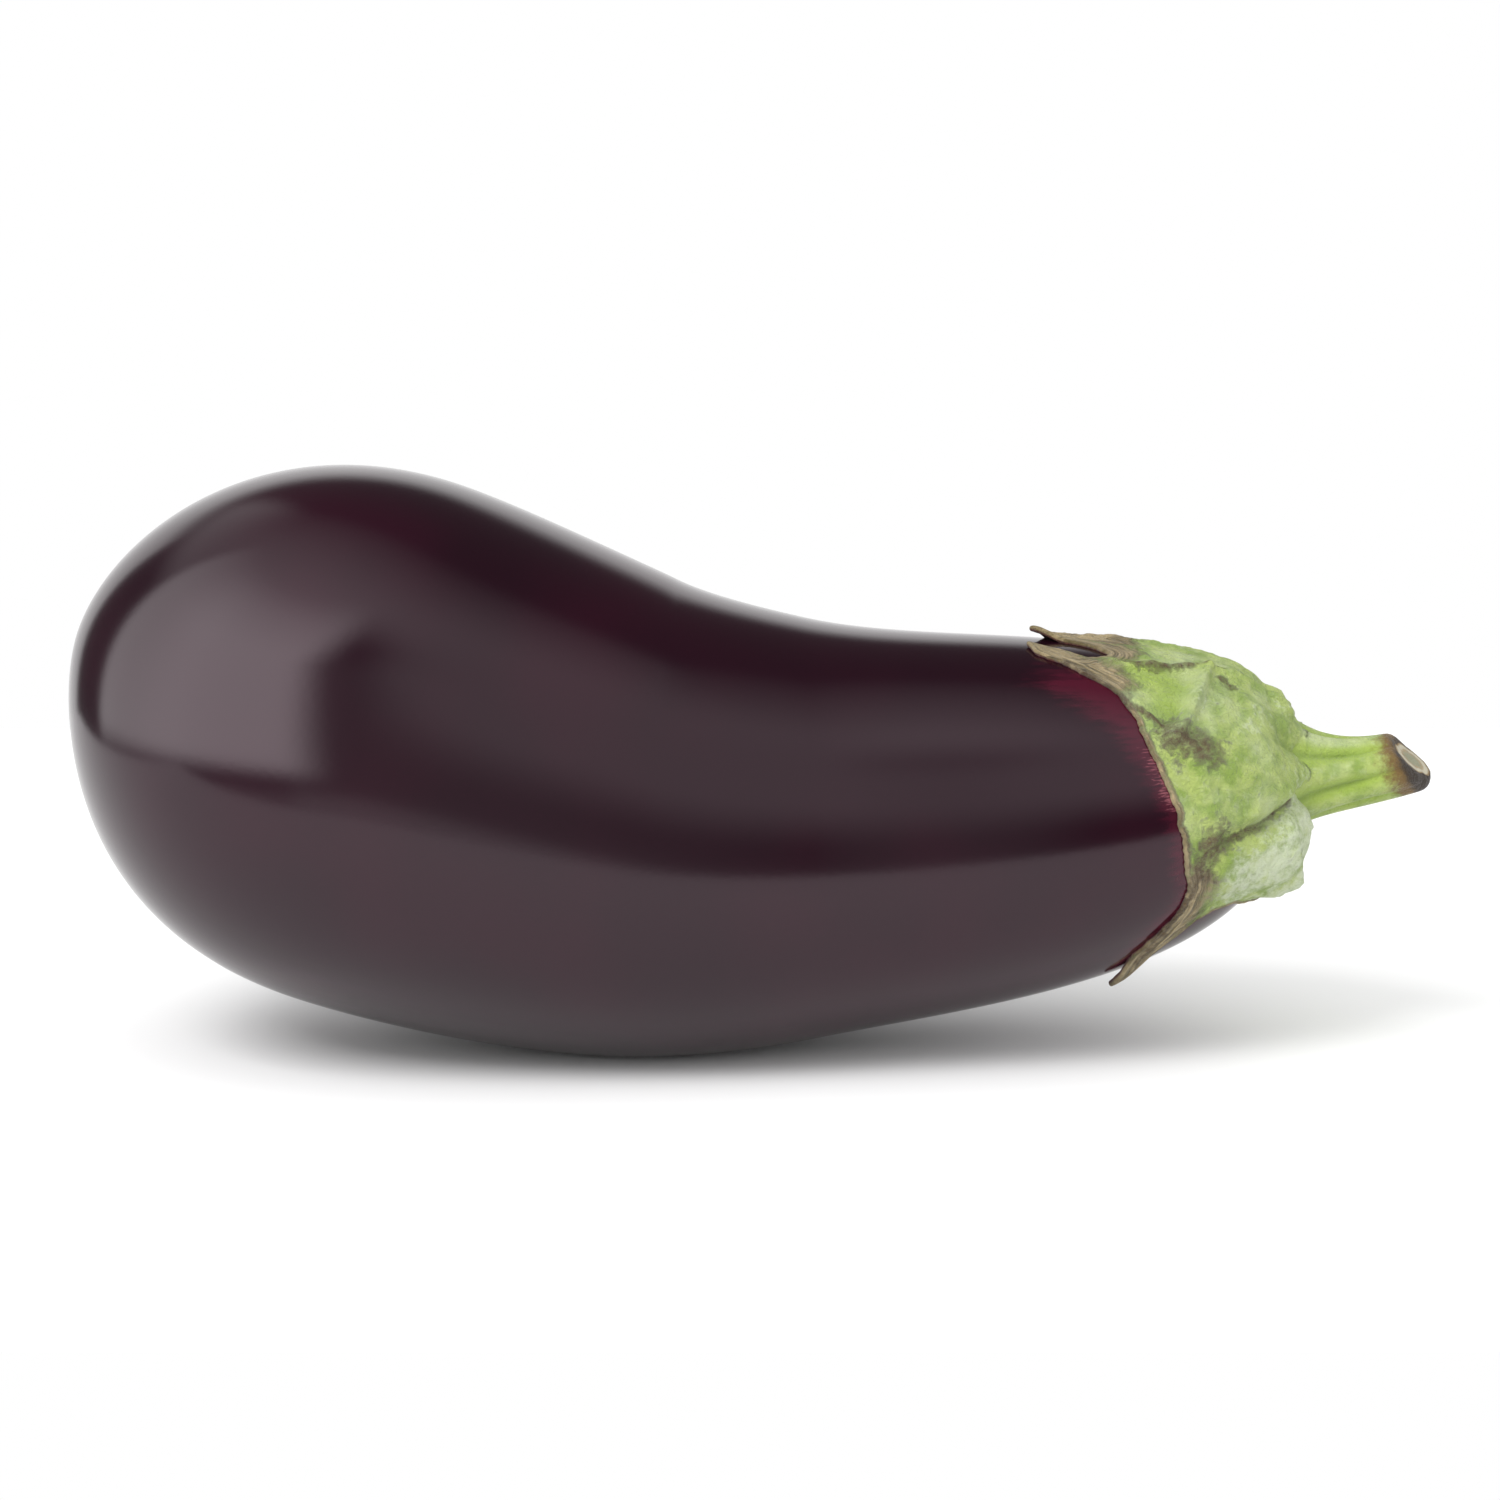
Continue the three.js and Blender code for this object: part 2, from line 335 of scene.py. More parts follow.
def fresh(material):
    """Clears a material's nodes and gives a wire to build on."""
    material.use_nodes = True
    material.node_tree.nodes.clear()
    return Wire(material.node_tree)


def finish(start, sockets):
    """Ends a material with one Principled surface."""
    surface = start.node("ShaderNodeBsdfPrincipled", None, sockets)
    start.node("ShaderNodeOutputMaterial", None, {"Surface": surface})


def attribute(start, name):
    return start.node("ShaderNodeAttribute", {"attribute_name": name})["Fac"]


def grain(start, place, scale, detail=2.0, roughness=0.5):
    """Noise from 0 to 1."""
    sockets = {"Vector": place, "Scale": scale, "Detail": detail, "Roughness": roughness}
    return start.node("ShaderNodeTexNoise", None, sockets)


def fade(value, low, high):
    """0 below `low`, 1 above `high`, and smooth between. The two may be the other way round."""
    smooth = {"interpolation_type": "SMOOTHSTEP"}
    return value.node("ShaderNodeMapRange", smooth, {0: value, 1: low, 2: high})


def bumped(strength, distance, height):
    """A normal from a height. The distance is in metres."""
    return height.node("ShaderNodeBump", None, {"Strength": strength, "Distance": distance, "Height": height})


def blend(share, colour, other):
    return share.node("ShaderNodeMix", {"data_type": "RGBA"}, {0: share, 6: colour, 7: other})[2]


purple_black = (0.0095, 0.0012, 0.0045, 1)
wine = (0.015, 0.0014, 0.006, 1)
crimson = (0.052, 0.0038, 0.013, 1)
rose = (0.20, 0.055, 0.07, 1)

look = fresh(skin)
place = look.node("ShaderNodeTexCoord")["Object"]
round_spine = look.node("ShaderNodeAttribute", {"attribute_name": "round_spine"})["Vector"]
drawn_out = look.node(
    "ShaderNodeVectorMath", {"operation": "MULTIPLY"}, {0: round_spine, 1: (30.0, 30.0, 0.22)}
)
streaks = grain(look, drawn_out, 1.0, 3.0, 0.6)
fine_streaks = grain(look, drawn_out, 2.6, 3.0, 0.6)
clouds = grain(look, place, 28.0, 2.0)
blush = attribute(look, "blush")
flecks = attribute(look, "flecks")
body_colour = blend(fade(clouds, 0.4, 0.75), purple_black, wine)
blushed = fade(blush + (streaks - 0.5) * 0.9 * fade(blush, 0.02, 0.3), 0.15, 0.85)
rosy = fade(flecks + (fine_streaks - 0.5) * 1.6, 0.62, 0.95)
colour = blend(rosy, blend(blushed, body_colour, crimson), rose)
skin_grain = grain(look, place, 900.0, 2.0)
finish(
    look,
    {
        "Base Color": colour,
        "Roughness": 0.14 + grain(look, place, 60.0) * 0.03 + rosy * 0.1,
        "Normal": bumped(0.25, 0.00002, skin_grain),
        "IOR": 1.5,
        "Specular Tint": (1.0, 0.86, 0.92, 1),
    },
)

# ---- Calyx ----
# The green cap of five sepals that held the bud, grown onto the neck: thick at the stem, leathery
# towards its rim, drying to tan at the points, with a swollen fold below and corky brown scars
# where it split as the fruit filled out.

# Angles run round the neck from straight up towards the front (-Y), in degrees; reach is measured
# along the skin from the middle of the stem end. The rim goes round all five sepals, tip to tip.
rim_outline = [
    (1, 50.5), (3.5, 46), (6.5, 42), (10, 39.6), (13.5, 38.2), (16.5, 39), (19.5, 41), (20.3, 43.4),
    (18, 47.2), (11, 51.6), (17, 50.2), (21, 48.6), (25.5, 45.5), (33, 41.1), (39, 38.2), (51, 35.8),
    (67, 33.7), (86, 31.7), (106, 31.3),
    (121, 31.8), (130, 34), (139, 38.7), (149, 42.2), (167, 45.2),
    (156, 41), (147.5, 38), (141.5, 34.5), (138, 31), (137, 28), (141, 24.5), (150, 21.5), (165, 19.5),
    (185, 20), (203, 25), (217, 33), (226, 41),
    (233, 35), (242, 30), (254, 28), (268, 31), (280, 38), (287, 44), (293, 48.5),
    (296, 42), (304, 34), (317, 29.5), (331, 34), (343, 41), (352, 47.5),
]
tips = [
    dict(at=(1, 50.5), lift=1.4, over=6),
    dict(at=(11, 51.6), lift=0.3, over=10),
    dict(at=(167, 45.2), lift=1.5, over=12),
    dict(at=(226, 41), lift=0.4, over=12),
    dict(at=(293, 48.5), lift=0.5, over=12),
]
# The notches between the sepals, and the angle at the stalk that each is drawn from.
notches = [
    dict(at=(13.5, 38.2), drawn_from=13.5),
    dict(at=(106, 31.3), drawn_from=95),
    dict(at=(143, 23.8), drawn_from=126),
    dict(at=(254, 28), drawn_from=254),
    dict(at=(317, 29.5), drawn_from=317),
]
straightness = 18

# Thickness of the flesh: at the rim, added past the rim strip, and added round the stalk between
# these two reaches.
flesh = dict(rim=0.6, body=0.55, hub=1.7, rim_width=2.6, body_starts=5.5, thinnest=0.5)
hub_starts, hub_full = 31, 12
edge_width = 0.45
hub_reach = 7.0
under_skin = 0.3

# Swellings and dents: along a line of (angle, reach), this high and this wide.
swellings = [
    dict(line=[(-40, 15), (60, 15)], height=0.9, width=7.0),
    dict(line=[(138, 12), (154, 13)], height=3.9, width=7.0),
    dict(
        line=[(20, 10), (17, 16), (18, 24), (22.4, 31), (23.5, 37), (17, 45), (12, 50)], height=0.9, width=1.0
    ),
    dict(line=[(20, 23), (36, 25.3), (50, 28), (58, 31)], height=1.5, width=1.0),
    dict(line=[(27, 44), (40, 38.6), (49, 34.4), (58, 31), (62, 28)], height=0.7, width=0.8),
    dict(line=[(27, 35), (27, 28), (45, 30.3), (27, 35)], height=-1.3, width=1.8),
    dict(line=[(64, 26), (76, 21), (90, 14), (98, 9)], height=0.5, width=1.3),
    dict(line=[(30, 20), (44, 19), (56, 21)], height=-0.5, width=1.2),
    dict(line=[(-2, 47), (-4, 41), (-2, 35)], height=-0.5, width=4.0),
    dict(line=[(62, 28), (75, 27), (95, 27), (104, 26.5)], height=0.35, width=1.2),
    dict(line=[(97, 8), (100, 12), (103, 18), (101, 24), (109, 27.4), (118, 30)], height=-1.9, width=1.3),
    dict(line=[(112, 29), (128, 33), (150, 40), (163, 44)], height=0.7, width=0.9),
    dict(line=[(225, 10), (225, 38)], height=0.8, width=1.5),
    dict(line=[(285, 10), (285, 28), (290, 45)], height=0.9, width=1.5),
    dict(line=[(351, 10), (351, 30), (355, 50)], height=0.9, width=1.5),
    dict(line=[(255, 8), (255, 25)], height=-0.8, width=1.4),
    dict(line=[(318, 8), (318, 26)], height=-0.8, width=1.4),
]

# Wrinkles: (height, size, seed). The folded sepal has finer ones of its own, near its fold.
wrinkles = [(0.26, 3.6, 3), (0.2, 1.4, 4)]
fold_wrinkles = dict(height=0.45, size=1.9, seed=7, near=[(136, 12), (158, 16)], within=8)

# The stalk's foot: its radius falls away with the height above the end of the fruit.
stalk_radius = 5.0
foot_height = 10.4
foot_flare = 6.0
ribs = dict(count=7, depth=1.35, turn=41.4, twist=24, roundness=0.95, faded_at_cut=0.7)

around_calyx = 720
calyx_rows = 96
edge_rows = 5
inner_rows = 12

spine = sample(spine_knots)
spine_lengths = lengths_along(spine)
spine_headings = np.gradient(spine, spine_lengths, axis=0)
from_pole = sample(outline_knots)[::-1]
skin_reach = lengths_along(from_pole)
skin_slope = np.gradient(from_pole, skin_reach, axis=0)


def bend(angle, radius, along):
    """Points of the frame, given by degrees from straight up, radius, and distance along the spine."""
    within = np.minimum(along, spine_lengths[-1])
    place = np.stack([np.interp(within, spine_lengths, spine[:, axis]) for axis in range(3)], -1)
    heading = np.stack([np.interp(within, spine_lengths, spine_headings[:, axis]) for axis in range(3)], -1)
    turn = np.radians(angle)[..., None]
    side = np.cos(turn) * np.cross(heading, (0, 1, 0)) - np.sin(turn) * np.array([0, 1, 0])
    return place + heading * (along - within)[..., None] + side * radius[..., None] + to_frame


def over_skin(angle, reach, stand):
    """Points that stand off the skin by `stand`."""
    radius, along = (np.interp(reach, skin_reach, from_pole[:, axis]) for axis in range(2))
    outward, onward = (np.interp(reach, skin_reach, skin_slope[:, axis]) for axis in range(2))
    return bend(angle, radius - onward * stand, along + outward * stand)


def distance_to(spots, points):
    """How far each point is from the nearest of the spots."""
    tree = kdtree.KDTree(len(spots))
    for i, spot in enumerate(spots):
        tree.insert(spot, i)
    tree.balance()
    return np.array([tree.find(point)[2] for point in points])


def distance_from(points, line):
    """How far each point is from a line of (angle, reach) drawn on the skin."""
    corners = np.array(line, dtype=float)
    steps = np.linspace(0, len(corners) - 1, 16 * len(corners))
    drawn = over_skin(*(np.interp(steps, np.arange(len(corners)), corners[:, i]) for i in range(2)), 0)
    return distance_to(drawn, points)


def groove(angle, height):
    """How deep the stalk is cut in between its ribs."""
    turn = np.radians(angle + ribs["turn"] + ribs["twist"] * height / 20)
    depth = ribs["depth"] * (1 - ribs["faded_at_cut"] * smooth_step(height, 9, 20))
    return depth * (1 - np.abs(np.sin(ribs["count"] * turn / 2)) ** ribs["roundness"])


def stalk_foot(angle, radius):
    """The height of the stalk's flared foot at a radius."""
    return foot_height - foot_flare * np.log(np.maximum(radius + groove(angle, 6.0) - stalk_radius, 0.02))


def ringed_mesh(name, rings, joined):
    """A mesh over rings of points. The last ring joins the first, or each end is closed by a fan."""
    count, around = rings.shape[:2]
    number = np.arange(count * around).reshape(count, around)
    if joined:
        number = np.vstack([number, number[:1]])
    beside = np.roll(number, -1, axis=1)
    quads = np.stack([number[:-1], beside[:-1], beside[1:], number[1:]], -1).reshape(-1, 4)
    faces = quads.tolist()
    points = rings.reshape(-1, 3)
    if not joined:
        for ring, turned in ((0, False), (-1, True)):
            centre = len(points)
            points = np.vstack([points, rings[ring].mean(axis=0)])
            pairs = zip(number[ring].tolist(), beside[ring].tolist())
            faces += [(centre, a, b) if turned else (centre, b, a) for a, b in pairs]
    mesh = bpy.data.meshes.new(name)
    mesh.from_pydata(points * MM, [], faces)
    mesh.shade_smooth()
    return mesh


def even_rim():
    """Evenly spaced points (angle, reach) round the rim, with a slightly ragged edge."""
    corners = np.array([*rim_outline, rim_outline[0]], dtype=float)
    corners[-1, 0] += 360
    mm_per_degree = np.radians(1) * np.interp(corners[:, 1], skin_reach, from_pole[:, 0])
    between = (mm_per_degree[1:] + mm_per_degree[:-1]) / 2
    steps = np.hypot(np.diff(corners[:, 0]) * between, np.diff(corners[:, 1]))
    travelled = np.r_[0, np.cumsum(steps)]
    even = np.arange(around_calyx) * travelled[-1] / around_calyx
    angle, reach = (np.interp(even, travelled, corners[:, axis]) for axis in range(2))
    turn = 2 * np.pi * even / travelled[-1]
    loop = 50 * np.column_stack([np.cos(turn), np.sin(turn), 0 * turn])
    reach += 0.45 * ripple(loop, 3.5, 1) + 0.2 * ripple(loop, 0.9, 2)
    sideways = 0.3 * ripple(loop, 3.0, 5) + 0.15 * ripple(loop, 0.9, 6)
    angle += sideways / np.interp(even, travelled, mm_per_degree)
    return angle, reach


def softened(values, spread):
    """A ring of angles, averaged over neighbours."""
    window = np.exp(-((np.arange(-3 * spread, 3 * spread + 1) / spread) ** 2) / 2)
    steady = values - np.arange(len(values)) * 360 / len(values)
    padded = np.concatenate([steady[-3 * spread :], steady, steady[: 3 * spread]])
    steady = np.convolve(padded, window / window.sum(), "valid")
    return steady + np.arange(len(values)) * 360 / len(values)


rim_angle, rim = even_rim()
notch_columns = [
    np.argmin(np.hypot((rim_angle - notch["at"][0]) * 0.5, rim - notch["at"][1])) for notch in notches
]
drawn_from = np.array([notch["drawn_from"] for notch in notches], dtype=float)
wrapped_columns = np.r_[notch_columns[-1] - around_calyx, notch_columns, notch_columns[0] + around_calyx]
wrapped_from = np.r_[drawn_from[-1] - 360, drawn_from, drawn_from[0] + 360]
hub_angle = softened(np.interp(np.arange(around_calyx), wrapped_columns, wrapped_from), straightness)

outer_share = np.linspace(0, 1, calyx_rows) ** 1.1
edge_turn = np.linspace(0, math.pi, edge_rows + 2)[1:-1]
inner_share = np.linspace(1, 0, inner_rows)
row_share = np.concatenate([outer_share, np.ones(edge_rows), inner_share])[:, None]
row_edge = np.concatenate([np.zeros(calyx_rows), np.sin(edge_turn), np.zeros(inner_rows)])[:, None]
face = np.concatenate([np.ones(calyx_rows), (1 + np.cos(edge_turn)) / 2, np.zeros(inner_rows)])[:, None]
reach = hub_reach + (rim - hub_reach) * row_share
angle = hub_angle + (rim_angle - hub_angle) * row_share**2
bare = over_skin(angle, reach, 0).reshape(-1, 3)
rim_line = over_skin(rim_angle, rim, 0)
from_rim = distance_to(rim_line, bare).reshape(reach.shape)


def near_line(line, width):
    """1 on a line, fading out over the width, for each point of the bare grid."""
    return np.exp(-((distance_from(bare, line) / width) ** 2))


lifted = np.zeros(reach.shape)
for tip in tips:
    spot = over_skin(*(np.array([part], dtype=float) for part in tip["at"]), 0)
    lifted += tip["lift"] * smooth_step(distance_to(spot, bare), tip["over"], 0).reshape(reach.shape)

body = smooth_step(from_rim, flesh["rim_width"], flesh["body_starts"])
thickness = flesh["rim"] + flesh["body"] * body + flesh["hub"] * smooth_step(reach, hub_starts, hub_full)
relief = sum(part["height"] * near_line(part["line"], part["width"]) for part in swellings)
away_from_edge = smooth_step(from_rim, 0.3, 2.5)
wrinkled = sum(height * ripple(bare, size, seed) for height, size, seed in wrinkles)
on_fold = near_line(fold_wrinkles["near"], fold_wrinkles["within"])
wrinkled += fold_wrinkles["height"] * ripple(bare, fold_wrinkles["size"], fold_wrinkles["seed"]) * on_fold
thickness += (relief.reshape(reach.shape) + wrinkled.reshape(reach.shape)) * away_from_edge
thickness = np.maximum(thickness, flesh["thinnest"])
thickness -= 0.8 * groove(angle, 4.0) * smooth_step(reach, 20, 9)
foot = stalk_foot(angle, np.interp(reach, skin_reach, from_pole[:, 0])) - 0.2
thickness = (thickness + foot + np.sqrt((thickness - foot) ** 2 + 1.5)) / 2
thickness -= 1.5 * smooth_step(reach, hub_reach + 1.2, hub_reach)
inner_face = np.maximum(lifted - under_skin, -under_skin)
outer_face = thickness + lifted
outwards = rim_line - over_skin(angle[calyx_rows - 2], reach[calyx_rows - 2], 0)
outwards *= edge_width / np.linalg.norm(outwards, axis=1, keepdims=True)
calyx_rings = over_skin(angle, reach, inner_face + (outer_face - inner_face) * face)
calyx_rings += row_edge[..., None] * outwards
calyx_mesh = ringed_mesh("eggplant_calyx", calyx_rings[::-1], True)
add_piece("eggplant_calyx", calyx_mesh, "calyx")


def drawn(lines, width):
    """1 on any of the lines, fading out over the width."""
    return np.max([near_line(line, width) for line in lines], axis=0).reshape(reach.shape)


cork_lines = [
    [(57, 31), (61, 28.3), (64, 26)],
    [(100, 26), (106, 28), (112, 29.5)],
]
cork_threads = [
    [(22, 38), (23, 31), (18.3, 24), (16, 21)],
    [(24, 46), (33, 41.5), (42, 37.2), (50, 33.6), (57, 31)],
    [(108, 29), (122, 31.5), (128, 34), (150, 41)],
    [(24, 21), (28, 19.5)],
    [(98, 11), (103, 18), (103, 24)],
]
bright_lines = [
    [(28, 34), (29, 29), (42, 30.5)],
    [(86, 4), (95, 8), (98, 13)],
]
fold_lines = [[(134, 10), (146, 14), (158, 20)], [(116, 9), (122, 15), (126, 23)]]
pale_lines = [
    [(36, 25), (50, 27.5)],
    [(26, 12), (40, 15), (52, 18)],
]
dry_lines = [
    [(11, 51), (20, 47), (27, 42.5), (33, 39.5)],
    [(167, 45), (150, 40), (128, 33), (118, 31)],
    [(1, 50), (6, 43), (11, 37)],
    [(0, 50), (-5, 43), (-4, 37)],
    [(226, 41), (226, 36)],
    [(293, 48), (290, 42)],
]
dry = np.maximum(drawn(dry_lines, 4.2), 0.75 * smooth_step(from_rim, 1.1, 0.1))
calyx_marks = {
    "dry": dry,
    "cork": np.maximum(0.72 * drawn(cork_lines, 3.2), 0.72 * drawn(cork_threads, 0.8)),
    "bright": drawn(bright_lines, 3.4),
    "pale": np.maximum(drawn(fold_lines, 6.0), 0.42 * drawn(pale_lines, 3.0)),
    "from_rim": from_rim,
    "round": angle,
    "reach": reach,
    "outside": np.broadcast_to(face, reach.shape),
}
for name, values in calyx_marks.items():
    write(calyx_mesh, name, values[::-1])

leaf_green = (0.42, 0.52, 0.14, 1)
deep_green = (0.25, 0.36, 0.065, 1)
bright_green = (0.34, 0.47, 0.07, 1)
veil_green = (0.54, 0.62, 0.34, 1)
downy_white = (0.70, 0.77, 0.56, 1)
straw = (0.50, 0.39, 0.21, 1)
olive = (0.15, 0.115, 0.045, 1)
cork_brown = (0.17, 0.10, 0.026, 1)
rust = (0.10, 0.03, 0.018, 1)


def green_flesh(start, place):
    """The mottled green that the calyx and the stem share."""
    mottled = blend(fade(grain(start, place, 260.0, 4.0, 0.6), 0.38, 0.6), deep_green, leaf_green)
    veiled = blend(fade(grain(start, place, 110.0, 3.0), 0.45, 0.75) * 0.6, mottled, veil_green)
    downy = fade(grain(start, place, 620.0, 5.0, 0.7), 0.5, 0.68)
    return blend(downy * 0.4, veiled, veil_green)


calyx_skin = bpy.data.materials.new("calyx skin")
calyx_mesh.materials.append(calyx_skin)
look = fresh(calyx_skin)
place = look.node("ShaderNodeTexCoord")["Object"]
dry, cork, bright, pale, from_rim, round_neck, along_skin, outside = (
    attribute(look, name) for name in calyx_marks
)
patchy = grain(look, place, 620.0, 6.0, 0.72)
stretched = {0: from_rim * 2.4, 1: round_neck * 0.06, 2: along_skin * 0.12}
fibre_place = look.node("ShaderNodeCombineXYZ", None, stretched)
fibres = grain(look, fibre_place, 1.0, 3.0, 0.6)
colour = green_flesh(look, place)
colour = blend(fade(bright + (patchy - 0.5) * 1.2, 0.2, 1.1) * 0.8, colour, bright_green)
colour = blend(fade(pale + (patchy - 0.5) * 2.4, 0.3, 1.2) * 0.85, colour, downy_white)
dried = fade(dry + (patchy - 0.5) * 1.3, 0.25, 0.8)
dry_colour = blend(fade(fibres, 0.35, 0.65), olive, straw)
colour = blend(dried, colour, dry_colour)
corky = fade(cork + (patchy - 0.5) * 2.2, 0.3, 1.0)
colour = blend(corky, colour, cork_brown)
colour = blend(fade(outside, 0.65, 0.35), colour, rust)
hairs = grain(look, place, 1500.0, 2.0)
height = patchy * 0.6 + hairs * 0.25 + fibres * dried * 0.8 + corky * patchy * 0.8
finish(
    look,
    {
        "Base Color": colour,
        "Roughness": 0.52 + patchy * 0.12 + dried * 0.15,
        "Normal": bumped(1.0, 0.0024, height),
        "Sheen Weight": 0.15,
        "Sheen Roughness": 0.4,
    },
)

# The skin of the fruit is blushed past the calyx's rim: (angle, width in millimetres, strength).
blush_round_neck = [
    (0, 2, 0.2),
    (20, 3, 0.25),
    (28, 5, 0.5),
    (34, 7, 1.0),
    (44, 7, 0.9),
    (53, 6, 0.75),
    (66, 4, 0.7),
    (90, 3.0, 0.7),
    (120, 3, 0.7),
    (180, 4, 0.6),
    (270, 6, 0.7),
    (360, 5, 0.5),
]
fleck_round_neck = [(0, 0), (50, 0.1), (66, 0.8), (80, 0.9), (90, 0.4), (110, 0.5), (130, 0.3), (360, 0)]
up_share, front_share, _ = read(fruit_mesh, "round_spine").T
fruit_angle = np.degrees(np.arctan2(front_share, up_share)) % 360
past_rim = distance_to(rim_line, fruit_points)
blush_angle, blush_width, blush_strength = np.array(blush_round_neck).T
width = np.interp(fruit_angle, blush_angle, blush_width)
strength = np.interp(fruit_angle, blush_angle, blush_strength)
write(fruit_mesh, "blush", strength * np.exp(-((past_rim / width) ** 2)))
fleck_angle, fleck_strength = np.array(fleck_round_neck).T
flecks = np.interp(fruit_angle, fleck_angle, fleck_strength) * np.exp(-((past_rim / 3) ** 2))
write(fruit_mesh, "flecks", flecks)

# ---- Stem ----
# The short stalk left on by the grower's knife: ribbed, downy, flared at its foot where it runs
# into the calyx, and cut across at a slant. The cut face has dried to tan, with a brown edge.

cut = dict(height=21.0, back_per_up=0.42, back_per_front=0.22, lip=1.9)
around_stem = 168
stem_rows = 80
stem_base = 0.6
stem_angles = np.arange(around_stem) * 360 / around_stem
turns = np.radians(stem_angles)
cut_height = cut["height"] - stalk_radius * (
    cut["back_per_up"] * np.cos(turns) + cut["back_per_front"] * np.sin(turns)
)
side_share = np.linspace(0, 1, stem_rows)
heights = stem_base + np.outer(side_share, cut_height - cut["lip"] - stem_base)
stem_angle = np.broadcast_to(stem_angles, heights.shape)
radii = stalk_radius + np.exp((foot_height - heights) / foot_flare) - groove(stem_angle, heights)
lip_turn = np.linspace(0, math.pi / 2, 6)[1:]
lip_heights = (cut_height - cut["lip"]) + np.outer(np.sin(lip_turn), np.full(around_stem, cut["lip"]))
lip_radii = radii[-1] - cut["lip"] * (1 - np.cos(lip_turn))[:, None]
face_share = np.linspace(1, 0.04, 26)[1:]
face_radii = np.outer(face_share, lip_radii[-1])
face_heights = cut["height"] + np.outer(face_share, lip_heights[-1] - cut["height"])
heights = np.vstack([heights, lip_heights, face_heights])
radii = np.vstack([radii, lip_radii, face_radii])
stem_angle = np.broadcast_to(stem_angles, heights.shape)
stem_rings = bend(stem_angle, radii, fruit_length + heights)
stem_mesh = ringed_mesh("eggplant_stem", stem_rings, False)
add_piece("eggplant_stem", stem_mesh, "stem")

side_rows = stem_rows + len(lip_turn)
on_face = np.vstack([np.full((side_rows, around_stem), 1.2), np.outer(face_share, np.ones(around_stem))])
from_cut = np.maximum(cut_height - heights, 0) * (on_face > 1)
low_side = np.broadcast_to((1 - np.cos(turns)) / 2, heights.shape)
in_groove = groove(stem_angle, heights) / ribs["depth"]
stem_marks = {"on_face": on_face, "from_cut": from_cut, "low_side": low_side, "in_groove": in_groove}
for name, values in stem_marks.items():
    ends = [values[0].mean(), values[-1].mean()]
    write(stem_mesh, name, np.r_[np.ravel(values), ends])

cut_tan = (0.38, 0.29, 0.16, 1)
cut_white = (0.56, 0.52, 0.39, 1)
pith = (0.30, 0.30, 0.19, 1)
char = (0.03, 0.018, 0.009, 1)

stem_skin = bpy.data.materials.new("stem skin")
stem_mesh.materials.append(stem_skin)
look = fresh(stem_skin)
place = look.node("ShaderNodeTexCoord")["Object"]
on_face, from_cut, low_side, in_groove = (attribute(look, name) for name in stem_marks)
patchy = grain(look, place, 620.0, 6.0, 0.72)
# Near the cut the stalk's side is browned, and near-black at the very edge. Both reach further from the cut
# on the stalk's underside, so it is darker towards the bottom.
browned = fade(from_cut + (patchy - 0.5) * 7.0 - low_side * 2.6, 4.2, 0.8)
blackened_near_cut = fade(from_cut + (patchy - 0.5) * 3.0 - low_side * 2.4, 0.8, -0.6)
green = blend(fade(in_groove, 0.05, 0.45) * 0.8, green_flesh(look, place), bright_green)
green = blend(fade(in_groove, 0.5, 0.9) * 0.8, green, deep_green)
side_colour = blend(blackened_near_cut, blend(browned, green, cork_brown), char)
ringed = fade(on_face, 0.55, 0.7) * fade(on_face, 0.92, 0.8)
past_pith = fade(on_face + (patchy - 0.5) * 0.3, 0.35, 0.6)
face_colour = blend(past_pith, pith, blend(ringed, cut_tan, cut_white))
face_colour = blend(fade(on_face + (patchy - 0.5) * 0.2, 0.86, 0.99), face_colour, cork_brown)
is_face = fade(on_face, 1.05, 1.0)
colour = blend(is_face, side_colour, face_colour)
hairs = grain(look, place, 1500.0, 2.0)
finish(
    look,
    {
        "Base Color": colour,
        "Roughness": 0.52 + patchy * 0.12 + is_face * 0.15,
        "Normal": bumped(1.0, 0.0018, patchy * 0.6 + hairs * 0.25),
        "Sheen Weight": 0.15,
        "Sheen Roughness": 0.4,
    },
)

# ---- Table and light ----
# A matt white table in a white studio, with one soft lamp at the front left. The skin does not
# mirror the lamp: it mirrors a big soft box on the left, weaker fill on the right, and a pale
# wall behind.

table_left, table_right, table_front, table_back = -0.4, 0.4, -0.155, 0.3
table_mesh = bpy.data.meshes.new("table")
table_corners = [
    (table_left, table_front, 0),
    (table_right, table_front, 0),
    (table_right, table_back, 0),
    (table_left, table_back, 0),
]
table_mesh.from_pydata(table_corners, [], [(0, 1, 2, 3)])
table = bpy.data.objects.new("table", table_mesh)
bpy.context.scene.collection.objects.link(table)

table_top = bpy.data.materials.new("table top")
table_mesh.materials.append(table_top)
finish(fresh(table_top), {"Base Color": (0.93, 0.93, 0.93, 1), "Roughness": 0.9, "Specular IOR Level": 0.0})

# The studio, by the direction that its light comes from: degrees from the front (-Y) towards the
# right, and degrees up. The camera sees plain white, glossy surfaces mirror the soft boxes, and
# matt surfaces get a plainer light that is stronger from the front and from above.
studio = bpy.data.worlds.new("studio")
bpy.context.scene.world = studio
look = fresh(studio)
direction = look.node("ShaderNodeSeparateXYZ", None, {0: look.node("ShaderNodeTexCoord")["Generated"]})
azimuth = direction["X"].maths("ARCTAN2", direction["X"], direction["Y"] * -1) * math.degrees(1)
up = direction["Z"].maths("ARCSINE", direction["Z"]) * math.degrees(1)
aside = azimuth.maths("ABSOLUTE", azimuth)


def above_zero(value):
    return value.maths("MAXIMUM", value, 0.0)


def span(value, low, high, low_edge, high_edge):
    """1 between `low` and `high`, with edges this wide."""
    rising = fade(value, low - low_edge / 2, low + low_edge / 2)
    return rising * fade(value, high + high_edge / 2, high - high_edge / 2)


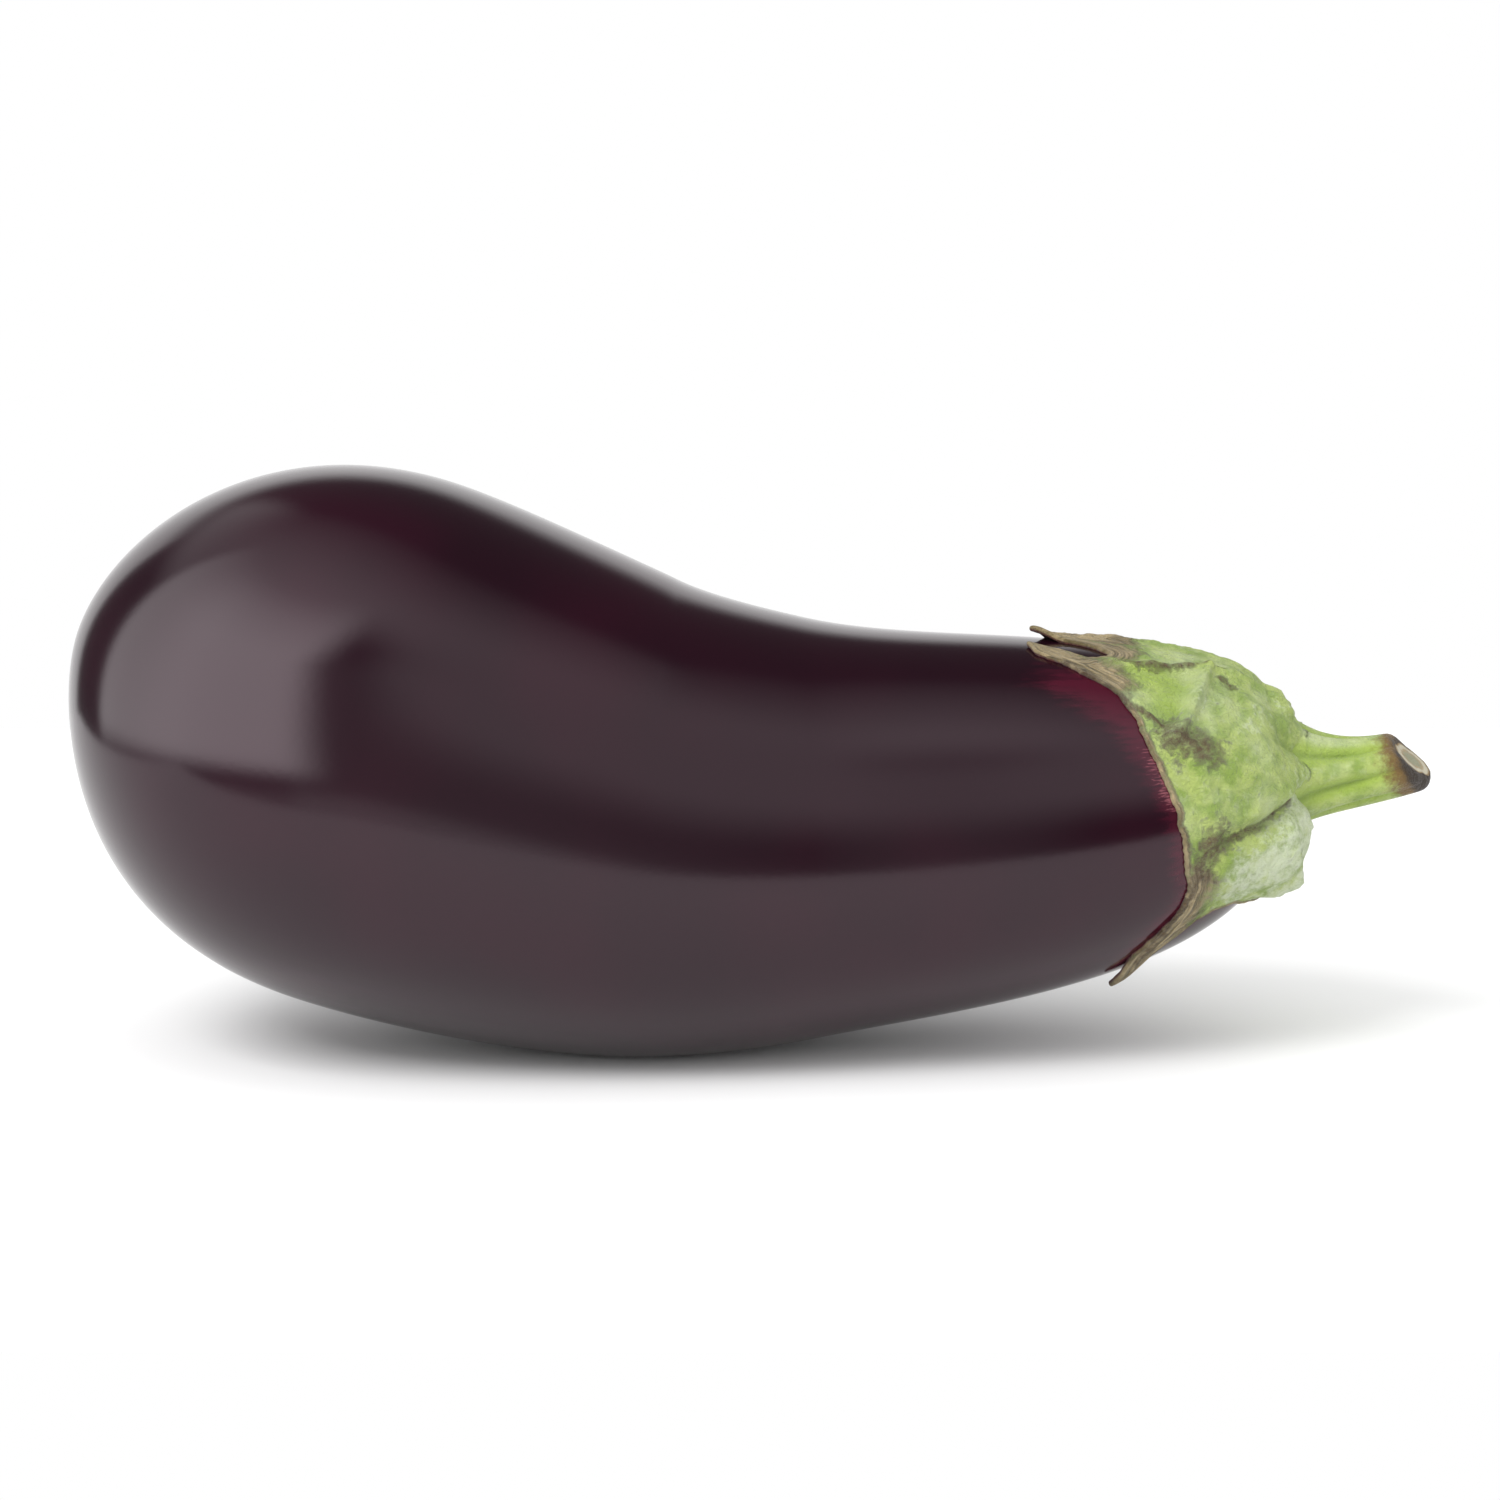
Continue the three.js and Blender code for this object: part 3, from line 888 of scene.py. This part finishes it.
# How bright each part is in the mirrored light. The rest has the dark parts' light alone.
power = dict(dark_parts=0.1, softbox=3.4, fill=0.85, backdrop=1.05, back_left=0.6, gap=0.3, past_table=0.6)

# The soft box widens to the right above its middle, and is weaker towards its left edge.
widened = above_zero(up - 38.0) * 1.1
softbox = span(azimuth - widened, -160, -18, 5, 20) * fade(azimuth, -118, -112) * fade(up, -11, -3)
softbox = softbox * (0.55 + 0.45 * fade(azimuth, -112, -66))
fill = span(azimuth, 14, 96, 34, 22) * fade(up, -2, 24)
backdrop = fade(aside, 138, 143) * fade(up, 36, 22)
back_left = span(azimuth, -156, -117, 12, 6) * fade(up, 28, 42)
gap = span(azimuth, -24, 22, 8, 16) * fade(up, 48, 34)
past_table = fade(up, -10, -18)
lower = softbox * (power["softbox"] - 0.5 * fade(up, 38, 52)) + fill * power["fill"]
lower = lower + backdrop * power["backdrop"] + back_left * power["back_left"]
lower = lower + gap * power["gap"] + past_table * power["past_table"]
# Overhead it is a slope instead, brightest towards the front left.
upper = above_zero(0.6 - direction["X"] + direction["Y"] * -1.6)
towards_top = fade(up, 46, 68)
mirrored = power["dark_parts"] + lower * (1 - towards_top) + upper * towards_top
is_seen = look.node("ShaderNodeLightPath")["Is Camera Ray"]
is_mirrored = is_seen["Is Glossy Ray"]
matt_light = 0.78 + 0.4 * direction["Z"] - 0.6 * direction["Y"]
strength = is_seen + (1 - is_seen) * (is_mirrored * mirrored + (1 - is_mirrored) * matt_light)
sky = look.node("ShaderNodeBackground", None, {"Color": (1, 1, 1, 1), "Strength": strength})
look.node("ShaderNodeOutputWorld", None, {"Surface": sky})

# A square soft lamp that faces the eggplant. It is not seen in the skin.
lamp_place = Vector((-0.5, -0.6, 0.8))
lamp_data = bpy.data.lights.new("key", "AREA")
lamp_data.size = 0.5
lamp_data.energy = 7
lamp = bpy.data.objects.new("key", lamp_data)
lamp.location = lamp_place
lamp.rotation_euler = (-lamp_place).to_track_quat("-Z", "Y").to_euler()
lamp.visible_glossy = False
lamp.visible_camera = False
bpy.context.scene.collection.objects.link(lamp)

bpy.context.scene.view_settings.view_transform = "Standard"
